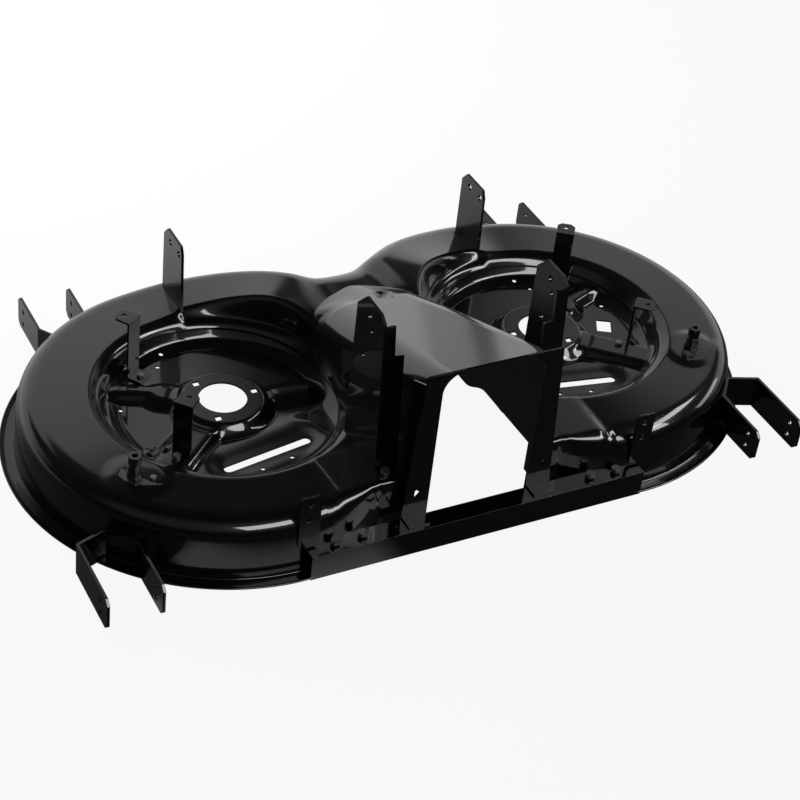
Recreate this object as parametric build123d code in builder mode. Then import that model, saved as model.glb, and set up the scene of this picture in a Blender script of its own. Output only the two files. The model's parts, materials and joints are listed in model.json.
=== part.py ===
"""Mowing deck with two blades and a rear discharge, as a bare welded and bolted assembly.

Millimetres, +Z up, +Y towards the front of the mower, rim resting on Z = 0. Lengths along Y are
measured from the spindle line, which is set so that the box of the part is centred on Y = 0.
"""
import os
from math import atan2, cos, degrees, hypot, radians, sin, sqrt, tan

from build123d import *

os.makedirs("parts", exist_ok=True)

# Sheet and fits
SHEET = 2.5
PLATE = 4.0
STRIP = 3.0
FIT = 0.3

# Spindles and the height of the ring section
SPINDLE_X = 245.0
SPINDLE_BORE = 32.5
BOSS_R = 54.0
BOSS_FOOT_R = 61.0
BOSS_Z = 78.5
FLOOR_Z = 60.0
LEDGE_Z = 73.0
LIP_Z = 92.0
SHOULDER_Z = 87.0

# Ring radii, from the skirt inwards to the pan floor and outwards to the rim
SKIRT_R = 271.0
SHOULDER_BEND = 22.0
SHOULDER_R = SKIRT_R - SHOULDER_BEND
TOP_WIDTH = 82.0
LIP_R = SHOULDER_R - TOP_WIDTH
TOP_R = (LIP_R + SHOULDER_R) / 2
LEDGE_OUT = LIP_R - 8.0
LEDGE_IN = LEDGE_OUT - 7.0
FLOOR_R = LEDGE_IN - 4.0
RIM_FLANGE = 17.0
RIM_R = SKIRT_R + RIM_FLANGE
RIM_T = 3.0
BEAD_W = 5.0
BEAD_H = 7.0
TOP_FALL = (LIP_Z - SHOULDER_Z) / (SHOULDER_R - LIP_R)

# Reach to the rear, at the crossbar, and to the front, at the yoke tips
REAR_REACH = RIM_R + 4.0
FRONT_REACH = SKIRT_R + 78.0
SPINDLE_Y = (REAR_REACH - FRONT_REACH) / 2

# Front saddle between the rings, turned about a centre ahead of the deck under a shallow dome.
# Its circle laps the skirt circles by VALLEY_LAP.
VALLEY_Y = 0.664 * SKIRT_R
VALLEY_LAP = 2.5
LAP_R = SKIRT_R - VALLEY_LAP
VALLEY_R = (SPINDLE_X**2 + VALLEY_Y**2 - LAP_R**2) / (2 * (LAP_R - VALLEY_Y))
SADDLE_Y = VALLEY_Y + VALLEY_R
SADDLE_DEPTH = hypot(SPINDLE_X, SADDLE_Y) - LIP_R - 5.0
SADDLE_HALF = degrees(atan2(SPINDLE_X, SADDLE_Y))
DOME_Y = VALLEY_Y - 32.0
DOME_TOP = LIP_Z + 19.0
DOME_R = 420.0

# Pan reliefs, angle in the left pan, reach, width
PAN_ARMS = ((-4.0, FLOOR_R - 30.0, 42.0), (155.0, LEDGE_IN, 30.0), (-133.0, LEDGE_IN, 74.0))
ARM_Z = FLOOR_Z + 12.0
SLOT_AT = (14.5, 32.5 - FLOOR_R)
SLOT_ANGLE = 9.6
SLOT_LENGTH = 132.0
SLOT_WIDTH = 11.0
SLOT_PAD = (160.0, 52.0)
SLOT_PAD_AT = (12.0, 27.0 - FLOOR_R)
SLOT_PAD_Z = FLOOR_Z + 10.0
BOLT_SQUARE = 9.0
BOLT_PCD = 90.0
BOLT_ANGLES = (0.0, 120.0, 240.0)
PAN_HOLES = ((-48.0, 112.5), (-34.0, 136.0), (-128.0, 40.0), (43.0, -131.0), (-2.0, -140.0))
PAN_HOLE_R = 3.2
WINDOW = (21.0, 28.0)
WINDOW_AT = (105.0, -5.5)
WINDOW_ANGLE = -28.0

# Discharge tunnel, stations from front to rear
TUNNEL_REAR = REAR_REACH - 28.0
TUNNEL_Y = (VALLEY_Y - 40.0, -40.0, -TUNNEL_REAR)
TUNNEL_HALF = (48.0, 88.0, 92.0)
TUNNEL_Z = (DOME_TOP + 3.5, DOME_TOP + 70.0, DOME_TOP + 156.0)
TUNNEL_LAP = 3.0

# Rear crossbar and chute plates
CROSSBAR_HALF = SPINDLE_X - 0.5
CROSSBAR_LOW = 3.0
CROSSBAR_TOP = 41.0
CROSSBAR_T = 2.7
CHUTE_HALF = TUNNEL_HALF[2] - 19.0
CHUTE_BEND = 30.0
CHUTE_TOP_HALF = TUNNEL_HALF[2] + 4.0
CHUTE_FOOT_HALF = TUNNEL_HALF[2] + 18.0
CHUTE_RETURN = 34.0
REAR_FLANGE_IN = CHUTE_FOOT_HALF + 4.0
REAR_FLANGE_OUT = CROSSBAR_HALF - 4.5

# Brackets
FOOT_LOW = SHOULDER_Z - 10.0
HANGER_X = SPINDLE_X - 11.0
HANGER_TOP = LIP_Z + 106.0
HANGER_FRONT = SHOULDER_R - 5.0
HANGER_REAR = LIP_R + 7.0
HANGER_FOOT = 24.0
HANGER_FOOT_LENGTH = 60.0
HANGER_HOLES = ((HANGER_FRONT - 24.0, HANGER_TOP - 15.0), (HANGER_REAR + 15.5, HANGER_TOP - 15.0))
LIFT_X = CHUTE_FOOT_HALF + 19.0
LIFT_FRONT = 34.0 - LIP_R
LIFT_REAR = 44.0 - SHOULDER_R
LIFT_TOP = 320.0
LIFT_SHOULDER = LIFT_TOP - 9.0
LIFT_LEAN = 4.9
LIFT_HEEL = LIFT_REAR - (LIFT_SHOULDER - FOOT_LOW) * tan(radians(LIFT_LEAN))
LIFT_FOOT = (30.0, 26.0)
LIFT_HOLES = (
    (LIFT_REAR + 37.0, LIFT_TOP - 21.0, 5.0),
    (LIFT_REAR + 29.0, LIFT_TOP - 39.0, 4.0),
    (LIFT_REAR + 44.0, LIFT_TOP - 85.0, 4.0),
)
LIFT_BOLT_AT = (LIFT_X - 9.0, LIFT_HEEL - 6.5)
TAB_X = SPINDLE_X - 2.0
TAB_WIDTH = 28.0
TAB_Z = (45.0, 126.0)
TAB_HOLES = (113.0, 88.0)

# Gauge wheel yokes
YOKE_TOP = 48.0
YOKE_HOLES = (33.0, 13.0)
YOKE_CHAMFER = 9.0
YOKE_SEAT = SKIRT_R + FIT + PLATE / 2
REAR_YOKE = (
    SPINDLE_X + 0.974 * SKIRT_R,
    SPINDLE_X + 0.71 * SKIRT_R,
    -0.646 * SKIRT_R,
    -35.7,
    -SKIRT_R - 13.0,
    9.0 - SKIRT_R,
)
FRONT_YOKE = (
    SPINDLE_X + 0.609 * SKIRT_R,
    SPINDLE_X + 0.347 * SKIRT_R,
    0.967 * SKIRT_R,
    58.2,
    FRONT_REACH - PLATE / 2,
    FRONT_REACH - 24.0,
)

# Cover posts: distance and direction from the spindle, angle of the plate, side of the tab, seat
POST_WIDTH = 26.0
POST_TOP = LIP_Z + 60.0
POST_TAB = 26.0
POST_CORNER = 6.0
POST_FOOT = 22.0
POST_PLACES = {
    "front_left": (-1, FLOOR_R - 10.0, 128.5, 35.0, 1, FLOOR_Z),
    "rear_left": (-1, FLOOR_R - 25.5, -138.0, -48.0, 1, ARM_Z),
    "front_right": (1, FLOOR_R - 7.0, 50.0, -35.0, 1, FLOOR_Z),
    "rear_right": (1, FLOOR_R - 23.0, -37.5, 47.0, -1, ARM_Z),
}
POSTS = {}
for place, (side, reach, turn, angle, tab_side, seat) in POST_PLACES.items():
    x = side * SPINDLE_X + reach * cos(radians(turn))
    POSTS[place] = (x, reach * sin(radians(turn)), angle, tab_side, seat)

# Wash ports
PORT_R = TOP_R + 4.6
PORT_AT = (SPINDLE_X + PORT_R * cos(radians(36)), -PORT_R * sin(radians(36)))
PORT_SCREW_AT = (PORT_AT[0] - 19.0, PORT_AT[1] - 16.0)
PORT_BORE = 4.0
PORT_STEPS = ((10.0, 5.0), (7.5, 4.0), (9.0, 4.0), (7.0, 6.0), (8.5, 11.0))
PORT_PLATE = ((20, 4), (8, 21), (-10, 21), (-26, 9), (-30, -17), (-25, -31), (8, -21), (17, -6))
PORT_FLANGE = 3.0

# Fasteners
BOLT_R = 4.0
BOLT_HEAD_R = 7.0
BOLT_HEAD_H = 5.0
CROSSBAR_BOLTS = (
    (REAR_FLANGE_OUT - 33.0, 14.0 - REAR_REACH),
    (REAR_FLANGE_OUT - 72.0, 16.0 - REAR_REACH),
)


def level(z):
    """Flat plane at height z, its origin on the spindle line."""
    return Plane(origin=(0, SPINDLE_Y, z))


def upright(x):
    """Plane across X at x: local x runs to the front, local y runs up."""
    return Plane(origin=(x, SPINDLE_Y, 0), x_dir=(0, 1, 0), z_dir=(1, 0, 0))


def rearward(y):
    """Plane across Y at y, facing the rear: local x is X, local y runs up."""
    return Plane(origin=(0, SPINDLE_Y + y, 0), x_dir=(1, 0, 0), z_dir=(0, -1, 0))


def top_height(radius):
    """Height of the ring's top face at a radius between the lip and the shoulder."""
    return LIP_Z - TOP_FALL * (radius - LIP_R)


def ring_points(grow):
    """Corners of the ring section from the axis to the shoulder, moved outwards by grow."""
    return [
        (0, BOSS_Z + grow),
        (BOSS_R + grow, BOSS_Z + grow),
        (BOSS_FOOT_R + grow, FLOOR_Z + grow),
        (FLOOR_R - grow, FLOOR_Z + grow),
        (LEDGE_IN - grow, LEDGE_Z + grow),
        (LEDGE_OUT - grow, LEDGE_Z + grow),
        (LIP_R - grow, LIP_Z + grow),
        (SHOULDER_R, SHOULDER_Z + grow),
    ]


def rings(grow, rim, mode):
    """Turn both rings about their spindle axes, grown by grow, with or without the rim."""
    bend = SHOULDER_BEND + grow
    low = SHOULDER_Z - SHOULDER_BEND
    for side in (-1, 1):
        plane = Plane(origin=(side * SPINDLE_X, SPINDLE_Y, 0), x_dir=(1, 0, 0), z_dir=(0, -1, 0))
        with BuildSketch(plane) as section:
            with BuildLine():
                points = ring_points(grow)
                Polyline(points)
                middle = (SHOULDER_R + bend * cos(radians(45)), low + bend * sin(radians(45)))
                edge = (SHOULDER_R + bend, low)
                ThreePointArc(points[-1], middle, edge)
                if rim:
                    outer = [
                        (SKIRT_R + grow, RIM_T + grow),
                        (RIM_R - BEAD_W - grow, RIM_T + grow),
                        (RIM_R - BEAD_W - grow, BEAD_H + grow),
                        (RIM_R + grow, BEAD_H + grow),
                        (RIM_R + grow, 0),
                        (0, 0),
                    ]
                else:
                    outer = [(SKIRT_R + grow, -1), (0, -1)]
                Polyline([edge] + outer + [points[0]])
            make_face()
        axis = Axis((side * SPINDLE_X, SPINDLE_Y, 0), (0, 0, 1))
        revolve(section.sketch, axis=axis, mode=mode)


def saddle(grow):
    """Front saddle grown by grow: a turned wedge with a rounded shoulder, capped by the dome."""
    bend = SHOULDER_BEND + grow
    near = VALLEY_R - grow
    foot = 0.0 if grow == 0 else -1.0
    turn = radians(270 - SADDLE_HALF)
    plane = Plane(origin=(0, SPINDLE_Y + SADDLE_Y, 0), x_dir=(cos(turn), sin(turn), 0),
                  z_dir=(sin(turn), -cos(turn), 0))
    low = DOME_TOP - SHOULDER_BEND
    with BuildPart() as form:
        with BuildSketch(plane) as section:
            with BuildLine():
                start = (near, low)
                middle = (near + bend * (1 - cos(radians(45))), low + bend * sin(radians(45)))
                end = (near + bend, low + bend)
                ThreePointArc(start, middle, end)
                outline = [end, (SADDLE_DEPTH, low + bend), (SADDLE_DEPTH, foot)]
                if grow == 0:
                    outline += [
                        (VALLEY_R - RIM_R + SKIRT_R, foot),
                        (VALLEY_R - RIM_R + SKIRT_R, BEAD_H),
                        (VALLEY_R - RIM_R + SKIRT_R + BEAD_W, BEAD_H),
                        (VALLEY_R - RIM_R + SKIRT_R + BEAD_W, RIM_T),
                        (near, RIM_T),
                    ]
                else:
                    outline += [(near, foot)]
                Polyline(outline + [start])
            make_face()
        axis = Axis((0, SPINDLE_Y + SADDLE_Y, 0), (0, 0, 1))
        revolve(section.sketch, axis=axis, revolution_arc=2 * SADDLE_HALF)
        with Locations((0, SPINDLE_Y + DOME_Y, DOME_TOP - DOME_R)):
            Sphere(DOME_R + grow, mode=Mode.INTERSECT)
    return form.part


def pan_reliefs(grow, mode):
    """Raise the three arms and the slot pad of each pan, or hollow them from below."""
    start = FLOOR_Z - SHEET - 0.5 if grow < 0 else FLOOR_Z - SHEET / 2
    for side in (-1, 1):
        with BuildSketch(level(start)) as arms:
            for angle, reach, width in PAN_ARMS:
                turn = angle if side < 0 else 180 - angle
                inner = BOSS_R - 6
                middle = (inner + reach) / 2
                at = (side * SPINDLE_X + middle * cos(radians(turn)), middle * sin(radians(turn)))
                with Locations(at):
                    Rectangle(reach - inner, width + 2 * grow, rotation=turn)
        extrude(arms.sketch, amount=ARM_Z + grow - start, mode=mode)
        with BuildSketch(level(start)) as pad:
            with Locations((side * (SPINDLE_X - SLOT_PAD_AT[0]), SLOT_PAD_AT[1])):
                Rectangle(SLOT_PAD[0] + 2 * grow, SLOT_PAD[1] + 2 * grow,
                          rotation=-side * SLOT_ANGLE)
            with Locations((side * SPINDLE_X, 0)):
                Circle(LEDGE_OUT - grow, mode=Mode.INTERSECT)
        extrude(pad.sketch, amount=SLOT_PAD_Z + grow - start, mode=mode)


def tunnel(inset):
    """Tunnel form moved in by inset: a sloping roof over a widening plan."""
    front, middle, rear = TUNNEL_Y
    foot = LIP_Z - SHOULDER_BEND - inset
    if inset:
        front -= inset
        rear -= 1
    with BuildPart() as form:
        with BuildSketch(upright(-TUNNEL_HALF[2] - 10)) as profile:
            Polygon(
                (front, foot),
                (front, TUNNEL_Z[0] - inset),
                (middle, TUNNEL_Z[1] - inset),
                (rear, TUNNEL_Z[2] - inset),
                (rear, foot),
                align=None,
            )
        extrude(profile.sketch, amount=2 * TUNNEL_HALF[2] + 20)
        with BuildSketch(level(0)) as plan:
            ends = list(zip((front, middle, rear), TUNNEL_HALF))
            right = [(half - inset, y) for y, half in ends]
            left = [(inset - half, y) for y, half in reversed(ends)]
            Polygon(*(right + left), align=None)
        extrude(plan.sketch, amount=LIFT_TOP, mode=Mode.INTERSECT)
    return form.part


def bolt(x, y, seat, length, radius, head_r, head_h):
    """Hexagon bolt with its head on the seat and its shank pointing down."""
    with BuildSketch(level(seat)) as head:
        with Locations((x, y)):
            RegularPolygon(head_r, 6)
    extrude(head.sketch, amount=head_h)
    with BuildSketch(level(seat)) as shank:
        with Locations((x, y)):
            Circle(radius)
    extrude(shank.sketch, amount=-length)


# Shell: grown from the outer faces, then hollowed by the sheet thickness
with BuildPart() as deck_shell:
    rings(0, True, Mode.ADD)
    add(saddle(0))
    with BuildSketch(level(CROSSBAR_TOP)) as rear_flange:
        for side in (-1, 1):
            Polygon(
                (side * REAR_FLANGE_IN, 36 - SKIRT_R),
                (side * REAR_FLANGE_IN, 6 - REAR_REACH),
                (side * REAR_FLANGE_OUT, 6 - REAR_REACH),
                (side * REAR_FLANGE_OUT, 36 - SKIRT_R),
                align=None,
            )
    extrude(rear_flange.sketch, amount=SHEET)
    rings(-SHEET, False, Mode.SUBTRACT)
    add(saddle(-SHEET), mode=Mode.SUBTRACT)
    pan_reliefs(0, Mode.ADD)
    pan_reliefs(-SHEET, Mode.SUBTRACT)
    with BuildSketch(level(-1)) as tunnel_way:
        Polygon(
            (40, TUNNEL_Y[0] - 12),
            (TUNNEL_HALF[1] - TUNNEL_LAP, TUNNEL_Y[1]),
            (TUNNEL_HALF[2] - TUNNEL_LAP, -RIM_R - 20),
            (TUNNEL_LAP - TUNNEL_HALF[2], -RIM_R - 20),
            (TUNNEL_LAP - TUNNEL_HALF[1], TUNNEL_Y[1]),
            (-40, TUNNEL_Y[0] - 12),
            align=None,
        )
    extrude(tunnel_way.sketch, amount=DOME_TOP + 20, mode=Mode.SUBTRACT)
    with BuildSketch(level(FLOOR_Z - 25)) as pan_holes:
        for side in (-1, 1):
            with Locations((side * SPINDLE_X, 0)):
                Circle(SPINDLE_BORE)
            for angle in BOLT_ANGLES:
                turn = angle if side < 0 else 180 - angle
                reach = BOLT_PCD / 2
                at = (side * SPINDLE_X + reach * cos(radians(turn)), reach * sin(radians(turn)))
                with Locations(at):
                    Rectangle(BOLT_SQUARE, BOLT_SQUARE)
            for x, y in PAN_HOLES:
                with Locations((side * (SPINDLE_X - x), y)):
                    Circle(PAN_HOLE_R)
            with Locations((side * (SPINDLE_X - SLOT_AT[0]), SLOT_AT[1])):
                SlotOverall(SLOT_LENGTH, SLOT_WIDTH, rotation=-side * SLOT_ANGLE)
        with Locations((SPINDLE_X + WINDOW_AT[0], WINDOW_AT[1])):
            Rectangle(*WINDOW, rotation=WINDOW_ANGLE)
        for x, y, angle, tab_side, seat in POSTS.values():
            back = -tab_side * POST_FOOT * 0.6
            with Locations((x - back * sin(radians(angle)), y + back * cos(radians(angle)))):
                Circle(3 + FIT)
    extrude(pan_holes.sketch, amount=60, mode=Mode.SUBTRACT)
    with BuildSketch(level(SHOULDER_Z - 15)) as top_holes:
        for side in (-1, 1):
            with Locations((side * LIFT_BOLT_AT[0], LIFT_BOLT_AT[1])):
                Circle(BOLT_R + FIT)
            with Locations((side * PORT_AT[0], PORT_AT[1])):
                Circle(PORT_BORE + 1)
            with Locations((side * PORT_SCREW_AT[0], PORT_SCREW_AT[1])):
                Circle(2.5 + FIT)
    extrude(top_holes.sketch, amount=40, mode=Mode.SUBTRACT)
    with BuildSketch(level(CROSSBAR_TOP - 1)) as flange_holes:
        for side in (-1, 1):
            for x, y in CROSSBAR_BOLTS:
                with Locations((side * x, y)):
                    Circle(BOLT_R + FIT)
    extrude(flange_holes.sketch, amount=6, mode=Mode.SUBTRACT)
deck_shell.part.label = "deck_shell"
export_step(deck_shell.part, "parts/deck_shell.step")

# Room the shell takes up, grown by the fit, to trim the pieces that sit on it
with BuildPart() as shell_room:
    rings(FIT, False, Mode.ADD)
    add(saddle(FIT))

# Tunnel: the form, hollowed by the same form moved in
with BuildPart() as chute_tunnel:
    add(tunnel(0))
    add(tunnel(SHEET), mode=Mode.SUBTRACT)
    add(shell_room.part, mode=Mode.SUBTRACT)
chute_tunnel.part.label = "chute_tunnel"
export_step(chute_tunnel.part, "parts/chute_tunnel.step")

# Rear crossbar: folded bar, its top flange notched round the shell
with BuildPart() as rear_crossbar:
    with BuildSketch(upright(-CROSSBAR_HALF)) as bar:
        Polygon(
            (-REAR_REACH, CROSSBAR_LOW),
            (-REAR_REACH, CROSSBAR_TOP),
            (-TUNNEL_REAR, CROSSBAR_TOP),
            (-TUNNEL_REAR, CROSSBAR_TOP - CROSSBAR_T),
            (CROSSBAR_T - REAR_REACH, CROSSBAR_TOP - CROSSBAR_T),
            (CROSSBAR_T - REAR_REACH, CROSSBAR_LOW),
            align=None,
        )
    extrude(bar.sketch, amount=2 * CROSSBAR_HALF)
    with BuildSketch(level(CROSSBAR_TOP - 10)) as bar_holes:
        for side in (-1, 1):
            for x, y in CROSSBAR_BOLTS:
                with Locations((side * x, y)):
                    Circle(BOLT_R + FIT)
    extrude(bar_holes.sketch, amount=20, mode=Mode.SUBTRACT)
    add(shell_room.part, mode=Mode.SUBTRACT)
rear_crossbar.part.label = "rear_crossbar"
export_step(rear_crossbar.part, "parts/rear_crossbar.step")

# Fastener groups
with BuildPart() as crossbar_bolts:
    for side in (-1, 1):
        for x, y in CROSSBAR_BOLTS:
            bolt(side * x, y, CROSSBAR_TOP + SHEET, 14, BOLT_R, BOLT_HEAD_R, BOLT_HEAD_H)
crossbar_bolts.part.label = "crossbar_bolts"
export_step(crossbar_bolts.part, "parts/crossbar_bolts.step")

with BuildPart() as lift_bracket_bolts:
    for side in (-1, 1):
        bolt(side * LIFT_BOLT_AT[0], LIFT_BOLT_AT[1], LIP_Z + PLATE, 18, BOLT_R, BOLT_HEAD_R, BOLT_HEAD_H)
lift_bracket_bolts.part.label = "lift_bracket_bolts"
export_step(lift_bracket_bolts.part, "parts/lift_bracket_bolts.step")

with BuildPart() as wash_port_screws:
    for side in (-1, 1):
        seat = top_height(hypot(PORT_SCREW_AT[0] - SPINDLE_X, PORT_SCREW_AT[1])) + PORT_FLANGE + 2
        bolt(side * PORT_SCREW_AT[0], PORT_SCREW_AT[1], seat, 14, 2.5, 4.5, 3)
wash_port_screws.part.label = "wash_port_screws"
export_step(wash_port_screws.part, "parts/wash_port_screws.step")

# Pieces with a left and a right hand
for side, hand in ((-1, "left"), (1, "right")):
    # Rear plate of the chute with its foot on the crossbar and its return along the tunnel wall
    with BuildPart() as chute_plate:
        with BuildSketch(rearward(-TUNNEL_REAR)) as plate:
            Polygon(
                (side * (CHUTE_HALF - CHUTE_BEND), TUNNEL_Z[2]),
                (side * CHUTE_TOP_HALF, TUNNEL_Z[2]),
                (side * CHUTE_FOOT_HALF, CROSSBAR_TOP),
                (side * (CHUTE_HALF - CHUTE_BEND), CROSSBAR_TOP),
                align=None,
            )
            with Locations((0, CROSSBAR_TOP)):
                RectangleRounded(2 * CHUTE_HALF, 2 * (TUNNEL_Z[2] - CROSSBAR_TOP - SHEET), CHUTE_BEND,
                                 mode=Mode.SUBTRACT)
            with Locations((side * (CHUTE_HALF + 19), CROSSBAR_TOP + 40)):
                Rectangle(9, 9, rotation=45, mode=Mode.SUBTRACT)
        extrude(plate.sketch, amount=STRIP)
        with BuildSketch(level(CROSSBAR_TOP)) as foot:
            with Locations((side * (CHUTE_HALF + 19), -TUNNEL_REAR - 11)):
                Rectangle(30, 22)
        extrude(foot.sketch, amount=STRIP)
        with BuildSketch(upright(side * (TUNNEL_HALF[2] + FIT))) as returned:
            Polygon(
                (-TUNNEL_REAR, TUNNEL_Z[2] - 14),
                (-TUNNEL_REAR, CROSSBAR_TOP),
                (CHUTE_RETURN - TUNNEL_REAR, CROSSBAR_TOP),
                (CHUTE_RETURN - TUNNEL_REAR, TUNNEL_Z[2] - 30),
                align=None,
            )
        extrude(returned.sketch, amount=side * STRIP)
        add(shell_room.part, mode=Mode.SUBTRACT)
    chute_plate.part.label = "chute_plate_" + hand
    export_step(chute_plate.part, "parts/chute_plate_" + hand + ".step")

    # Front hanger: upright plate with two holes and a foot on the ring
    with BuildPart() as front_hanger:
        with BuildSketch(upright(side * HANGER_X - PLATE / 2)) as plate:
            Polygon(
                (HANGER_REAR, FOOT_LOW),
                (HANGER_REAR + 6, HANGER_TOP - 11),
                (HANGER_REAR + 11, HANGER_TOP),
                (HANGER_FRONT - 12, HANGER_TOP),
                (HANGER_FRONT, HANGER_TOP - 13),
                (HANGER_FRONT - 1, FOOT_LOW),
                align=None,
            )
            for y, z in HANGER_HOLES:
                with Locations((y, z)):
                    Circle(5, mode=Mode.SUBTRACT)
        extrude(plate.sketch, amount=PLATE)
        with BuildSketch(level(FOOT_LOW)) as foot:
            with Locations((side * (HANGER_X - HANGER_FOOT / 2), TOP_R - 3)):
                Rectangle(HANGER_FOOT, HANGER_FOOT_LENGTH)
        extrude(foot.sketch, amount=LIP_Z + PLATE - FOOT_LOW)
        add(shell_room.part, mode=Mode.SUBTRACT)
    front_hanger.part.label = "front_hanger_" + hand
    export_step(front_hanger.part, "parts/front_hanger_" + hand + ".step")

    # Tall lift bracket: plate with a leaning rear edge, stepped rear flange, foot behind the flange
    with BuildPart() as lift_bracket:
        with BuildSketch(upright(side * LIFT_X - PLATE / 2)) as plate:
            Polygon(
                (LIFT_FRONT, FOOT_LOW),
                (LIFT_FRONT, LIFT_TOP - 22),
                (LIFT_FRONT - 21, LIFT_TOP),
                (LIFT_REAR + 11, LIFT_TOP),
                (LIFT_REAR, LIFT_SHOULDER),
                (LIFT_HEEL, FOOT_LOW),
                align=None,
            )
            for y, z, radius in LIFT_HOLES:
                with Locations((y, z)):
                    Circle(radius, mode=Mode.SUBTRACT)
        extrude(plate.sketch, amount=PLATE)
        lean = radians(LIFT_LEAN)
        back = Plane(origin=(0, SPINDLE_Y + LIFT_REAR, LIFT_SHOULDER), x_dir=(1, 0, 0),
                     z_dir=(0, -cos(lean), sin(lean)))
        with BuildSketch(back) as flange:
            Polygon(
                (side * LIFT_X, -5),
                (side * (LIFT_X - 15), -5),
                (side * (LIFT_X - 16), -47),
                (side * (LIFT_X - 29), -49),
                (side * (LIFT_X - LIFT_FOOT[0]), (LIP_Z - LIFT_SHOULDER) / cos(lean)),
                (side * LIFT_X, (LIP_Z - LIFT_SHOULDER) / cos(lean)),
                align=None,
            )
        extrude(flange.sketch, amount=-PLATE)
        with BuildSketch(level(FOOT_LOW)) as foot:
            with Locations((side * (LIFT_X + PLATE / 2 - LIFT_FOOT[0] / 2), LIFT_HEEL - 2)):
                Rectangle(LIFT_FOOT[0], LIFT_FOOT[1])
            with Locations((side * LIFT_BOLT_AT[0], LIFT_BOLT_AT[1])):
                Circle(BOLT_R + FIT, mode=Mode.SUBTRACT)
        extrude(foot.sketch, amount=LIP_Z + PLATE - FOOT_LOW)
        add(shell_room.part, mode=Mode.SUBTRACT)
    lift_bracket.part.label = "lift_bracket_" + hand
    export_step(lift_bracket.part, "parts/lift_bracket_" + hand + ".step")

    # Two-hole tab on the rear of the skirt
    with BuildPart() as rear_tab:
        with BuildSketch(rearward(-SKIRT_R - FIT)) as plate:
            with Locations((side * TAB_X, (TAB_Z[0] + TAB_Z[1]) / 2)):
                RectangleRounded(TAB_WIDTH, TAB_Z[1] - TAB_Z[0], 5)
            for z in TAB_HOLES:
                with Locations((side * TAB_X, z)):
                    Circle(4.5, mode=Mode.SUBTRACT)
        extrude(plate.sketch, amount=STRIP)
    rear_tab.part.label = "rear_tab_" + hand
    export_step(rear_tab.part, "parts/rear_tab_" + hand + ".step")

    # Wash port: flange plate on the ring, stepped spigot and bore
    with BuildPart() as wash_port:
        seat = top_height(hypot(PORT_AT[0] - SPINDLE_X, PORT_AT[1])) + PORT_FLANGE
        with BuildSketch(level(FOOT_LOW)) as flange:
            with BuildLine():
                corners = [(side * (PORT_AT[0] + dx), PORT_AT[1] + dy) for dx, dy in PORT_PLATE]
                Polyline(corners, close=True)
            make_face()
        extrude(flange.sketch, amount=seat + 2 - FOOT_LOW)
        for radius, height in PORT_STEPS:
            with BuildSketch(level(seat)) as step:
                with Locations((side * PORT_AT[0], PORT_AT[1])):
                    Circle(radius)
            extrude(step.sketch, amount=height + 2)
            seat += height
        with BuildSketch(level(SHOULDER_Z - 20)) as bores:
            with Locations((side * PORT_AT[0], PORT_AT[1])):
                Circle(PORT_BORE)
            with Locations((side * PORT_SCREW_AT[0], PORT_SCREW_AT[1])):
                Circle(2.5 + FIT)
        extrude(bores.sketch, amount=80, mode=Mode.SUBTRACT)
        add(shell_room.part, mode=Mode.SUBTRACT)
    wash_port.part.label = "wash_port_" + hand
    export_step(wash_port.part, "parts/wash_port_" + hand + ".step")

    # Gauge wheel yokes: one folded strip each, seated on the skirt above the rim
    for end, sizes in (("rear", REAR_YOKE), ("front", FRONT_YOKE)):
        outer, inner, root, seat_angle, tip, hole_y = sizes
        ahead = 1 if tip > 0 else -1
        offset = inner - SPINDLE_X
        bends = [
            (outer, tip),
            (outer, root),
            (SPINDLE_X + YOKE_SEAT * cos(radians(seat_angle)), YOKE_SEAT * sin(radians(seat_angle))),
            (inner, ahead * sqrt(YOKE_SEAT**2 - offset**2)),
            (inner, tip),
        ]
        with BuildPart() as wheel_yoke:
            with BuildSketch(level(0)) as strip:
                for one, two in zip(bends, bends[1:]):
                    run = (two[0] - one[0], two[1] - one[1])
                    with Locations((side * (one[0] + two[0]) / 2, (one[1] + two[1]) / 2)):
                        SlotCenterToCenter(hypot(*run), PLATE, rotation=degrees(atan2(run[1], side * run[0])))
            extrude(strip.sketch, amount=YOKE_TOP)
            with BuildSketch(level(-1)) as rim_way:
                with Locations((side * SPINDLE_X, 0)):
                    Circle(RIM_R + FIT)
            extrude(rim_way.sketch, amount=BEAD_H + FIT + 1, mode=Mode.SUBTRACT)
            with BuildSketch(level(-1)) as skirt_way:
                with Locations((side * SPINDLE_X, 0)):
                    Circle(SKIRT_R + FIT)
            extrude(skirt_way.sketch, amount=YOKE_TOP + 2, mode=Mode.SUBTRACT)
            with BuildSketch(upright(side * (SPINDLE_X + 40))) as tips:
                end_y = tip + ahead * (PLATE / 2)
                for z, step in ((YOKE_TOP, -YOKE_CHAMFER), (0, YOKE_CHAMFER)):
                    Polygon(
                        (end_y + ahead, z - step / YOKE_CHAMFER),
                        (end_y + ahead, z + step),
                        (end_y - ahead * YOKE_CHAMFER, z - step / YOKE_CHAMFER),
                        align=None,
                    )
                for z in YOKE_HOLES:
                    with Locations((hole_y, z)):
                        Circle(3.6)
            extrude(tips.sketch, amount=side * 300, mode=Mode.SUBTRACT)
        wheel_yoke.part.label = "wheel_yoke_" + end + "_" + hand
        export_step(wheel_yoke.part, "parts/wheel_yoke_" + end + "_" + hand + ".step")

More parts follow.
